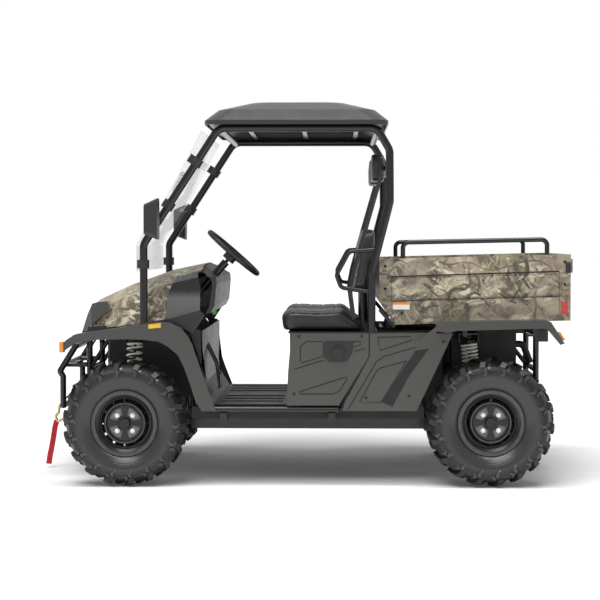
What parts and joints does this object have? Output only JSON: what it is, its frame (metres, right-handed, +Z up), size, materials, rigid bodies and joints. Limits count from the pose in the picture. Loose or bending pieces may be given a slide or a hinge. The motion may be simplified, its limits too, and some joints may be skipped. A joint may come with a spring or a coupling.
{
  "type": "side by side utility vehicle",
  "caption": "Two-seat side by side utility vehicle with a tipping cargo bed, drop tailgate, roof, full windshield and steered front wheels.",
  "frame": {"origin": "centre of the whole vehicle's footprint on the ground, under the middle of its length and width", "axes": "+X forwards, +Y to the vehicle's left, +Z up"},
  "size_m": [2.8034, 1.636, 1.956],
  "materials": {
    "panel_grey": "satin",
    "camo": "satin",
    "black_plastic": "matte",
    "gloss_black": "gloss",
    "frame_black": "satin",
    "tyre": "matte",
    "rim_black": "satin",
    "vinyl": "satin",
    "webbing": "matte",
    "strap_red": "matte",
    "steel": "satin",
    "zinc": "satin",
    "alloy": "satin",
    "spring_white": "gloss",
    "clear": "clear",
    "lamp": "gloss",
    "amber": "gloss",
    "red_lens": "gloss"
  },
  "bodies": {
    "chassis": {"cage_bars": "frame_black", "cage_sides": "frame_black", "cheeks": "gloss_black", "dampers": "steel", "dash": "black_plastic", "fenders": "black_plastic", "floor_pan": "black_plastic", "front_bumper": "frame_black", "front_frame": "frame_black", "fuel_cap": "black_plastic", "grille": "black_plastic", "headlamps": "lamp", "hood": "camo", "main_frame": "frame_black", "mirrors": "black_plastic", "muffler": "steel", "power_train": "alloy", "pull_strap": "strap_red", "rear_frame": "frame_black", "rear_knuckles": "steel", "roof": "panel_grey", "seat_backs": "vinyl", "seat_belts": "webbing", "seat_cushions": "vinyl", "seat_structure": "frame_black", "sheet_clamps": "black_plastic", "side_panels": "panel_grey", "side_steps": "black_plastic", "springs": "spring_white", "steering_gear": "frame_black", "suspension_arms": "frame_black", "turn_lamps": "amber", "winch": "frame_black", "winch_hook": "zinc", "windshield": "clear"},
    "front_knuckle_left": {"front_left_knuckle": "steel"},
    "front_knuckle_right": {"front_right_knuckle": "steel"},
    "wheel_front_left": {"front_left_rim": "rim_black", "front_left_tyre": "tyre"},
    "wheel_front_right": {"front_right_rim": "rim_black", "front_right_tyre": "tyre"},
    "wheel_rear_left": {"rear_left_rim": "rim_black", "rear_left_tyre": "tyre"},
    "wheel_rear_right": {"rear_right_rim": "rim_black", "rear_right_tyre": "tyre"},
    "steering_wheel": {"steering_wheel": "black_plastic"},
    "steering_rack": {"steering_rack": "steel"},
    "cargo_bed": {"bed_floor": "black_plastic", "bed_walls": "camo", "bed_rails": "frame_black", "tail_lamps": "red_lens"},
    "tailgate": {"tailgate": "camo"},
    "strut_cylinder": {"strut_cylinder": "frame_black"},
    "strut_rod": {"strut_rod": "steel"}
  },
  "joints": [
    {"name": "steer_turn", "type": "hinge", "parent": "chassis", "child": "steering_wheel", "pos_m": [0.346, 0.3, 1.179], "axis": [0.6591, 0, -0.7521], "range_deg": [-270, 270]},
    {"name": "steer_left", "type": "hinge", "parent": "chassis", "child": "front_knuckle_left", "pos_m": [0.876, 0.5445, 0.32], "axis": [0, 0, 1], "range_deg": [-28, 28]},
    {"name": "steer_right", "type": "hinge", "parent": "chassis", "child": "front_knuckle_right", "pos_m": [0.876, -0.5445, 0.32], "axis": [0, 0, 1], "range_deg": [-28, 28]},
    {"name": "rack_slide", "type": "slide", "parent": "chassis", "child": "steering_rack", "axis": [0, 1, 0], "range_m": [-0.0399, 0.0399]},
    {"name": "spin_front_left", "type": "hinge", "parent": "front_knuckle_left", "child": "wheel_front_left", "pos_m": [0.876, 0.6195, 0.32], "axis": [0, 1, 0], "continuous": true},
    {"name": "spin_rear_left", "type": "hinge", "parent": "chassis", "child": "wheel_rear_left", "pos_m": [-0.974, 0.6, 0.326], "axis": [0, 1, 0], "continuous": true},
    {"name": "spin_front_right", "type": "hinge", "parent": "front_knuckle_right", "child": "wheel_front_right", "pos_m": [0.876, -0.6195, 0.32], "axis": [0, 1, 0], "continuous": true},
    {"name": "spin_rear_right", "type": "hinge", "parent": "chassis", "child": "wheel_rear_right", "pos_m": [-0.974, -0.6, 0.326], "axis": [0, 1, 0], "continuous": true},
    {"name": "bed_dump", "type": "hinge", "parent": "chassis", "child": "cargo_bed", "pos_m": [-1.3, 0, 0.812], "axis": [0, -1, 0], "range_deg": [0, 38]},
    {"name": "tailgate_drop", "type": "hinge", "parent": "cargo_bed", "child": "tailgate", "pos_m": [-1.376, 0, 0.8487], "axis": [0, -1, 0], "range_deg": [0, 90]},
    {"name": "strut_swing", "type": "hinge", "parent": "chassis", "child": "strut_cylinder", "pos_m": [-1.22, -0.15, 0.592], "axis": [0, -1, 0], "range_deg": [0, 20]},
    {"name": "strut_extend", "type": "slide", "parent": "strut_cylinder", "child": "strut_rod", "axis": [0.6247, 0, 0.7809], "range_m": [0, 0.1204]}
  ],
  "couplings": [
    {"joint": "steer_left", "follows": "steer_turn", "ratio": -0.1037},
    {"joint": "steer_right", "follows": "steer_turn", "ratio": -0.1037},
    {"joint": "rack_slide", "follows": "steer_turn", "m_per_rad": 0.008467},
    {"joint": "strut_swing", "follows": "bed_dump", "ratio": 0.52},
    {"joint": "strut_extend", "follows": "bed_dump", "m_per_rad": 0.1814}
  ]
}
